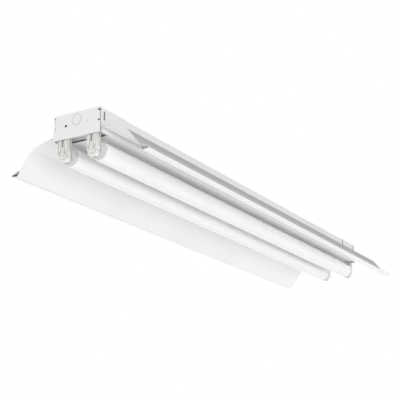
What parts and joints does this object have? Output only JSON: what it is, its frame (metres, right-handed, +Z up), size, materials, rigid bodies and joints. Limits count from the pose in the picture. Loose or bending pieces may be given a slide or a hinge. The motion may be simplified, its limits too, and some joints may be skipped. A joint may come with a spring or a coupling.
{
  "type": "fluorescent light fixture",
  "caption": "Ceiling fluorescent fixture: white sheet-metal channel, creased reflector with folded lips, and tube lamps that turn in bi-pin holders.",
  "frame": {"origin": "middle of the top face, halfway between the two ceiling screw holes", "axes": "+X along the lamps, towards the end that is far from the camera in the picture; -Y towards the picture's camera side; +Z up, towards the ceiling"},
  "size_m": [1.2312, 0.3126, 0.1017],
  "materials": {
    "white_enamel": "baked gloss white enamel",
    "zinc_steel": "zinc plated",
    "ballast_enamel": "black enamel",
    "green_steel": "green plated",
    "black_insulation": "insulated wire",
    "white_insulation": "insulated wire",
    "red_insulation": "insulated wire",
    "blue_insulation": "insulated wire",
    "yellow_insulation": "insulated wire",
    "holder_plastic": "moulded white urea plastic",
    "contact_bronze": "spring bronze",
    "lamp_glass": "glass with a white phosphor coat inside",
    "cap_aluminium": "satin",
    "pin_brass": "plated",
    "stem_glass": "clear glass stem"
  },
  "bodies": {
    "fixture": {"channel_housing": "white_enamel", "left_end_housing": "white_enamel", "right_end_housing": "white_enamel", "left_end_plate": "white_enamel", "right_end_plate": "white_enamel", "left_socket_plate": "white_enamel", "right_socket_plate": "white_enamel", "left_bridge": "zinc_steel", "right_bridge": "zinc_steel", "reflector": "white_enamel", "reflector_screws": "zinc_steel", "ballast_case": "ballast_enamel", "ballast_studs": "zinc_steel", "ballast_nuts": "zinc_steel", "ground_screw": "green_steel", "black_lead": "black_insulation", "white_lead": "white_insulation", "red_leads": "red_insulation", "blue_leads": "blue_insulation", "yellow_leads": "yellow_insulation", "left_front_holder_body": "holder_plastic", "left_front_holder_back": "holder_plastic", "left_front_holder_contacts": "contact_bronze", "left_rear_holder_body": "holder_plastic", "left_rear_holder_back": "holder_plastic", "left_rear_holder_contacts": "contact_bronze", "right_front_holder_body": "holder_plastic", "right_front_holder_back": "holder_plastic", "right_front_holder_contacts": "contact_bronze", "right_rear_holder_body": "holder_plastic", "right_rear_holder_back": "holder_plastic", "right_rear_holder_contacts": "contact_bronze"},
    "front_lamp": {"left_front_holder_rotor": "holder_plastic", "right_front_holder_rotor": "holder_plastic", "front_lamp_tube": "lamp_glass", "front_lamp_left_cap": "cap_aluminium", "front_lamp_right_cap": "cap_aluminium", "front_lamp_left_pins": "pin_brass", "front_lamp_right_pins": "pin_brass", "front_lamp_cathodes": "stem_glass"},
    "rear_lamp": {"left_rear_holder_rotor": "holder_plastic", "right_rear_holder_rotor": "holder_plastic", "rear_lamp_tube": "lamp_glass", "rear_lamp_left_cap": "cap_aluminium", "rear_lamp_right_cap": "cap_aluminium", "rear_lamp_left_pins": "pin_brass", "rear_lamp_right_pins": "pin_brass", "rear_lamp_cathodes": "stem_glass"}
  },
  "joints": [
    {"name": "front_lamp_turn", "type": "hinge", "parent": "fixture", "child": "front_lamp", "pos_m": [0, -0.033, -0.076], "axis": [1, 0, 0], "range_deg": [0, 90]},
    {"name": "rear_lamp_turn", "type": "hinge", "parent": "fixture", "child": "rear_lamp", "pos_m": [0, 0.033, -0.076], "axis": [1, 0, 0], "range_deg": [0, 90]}
  ]
}
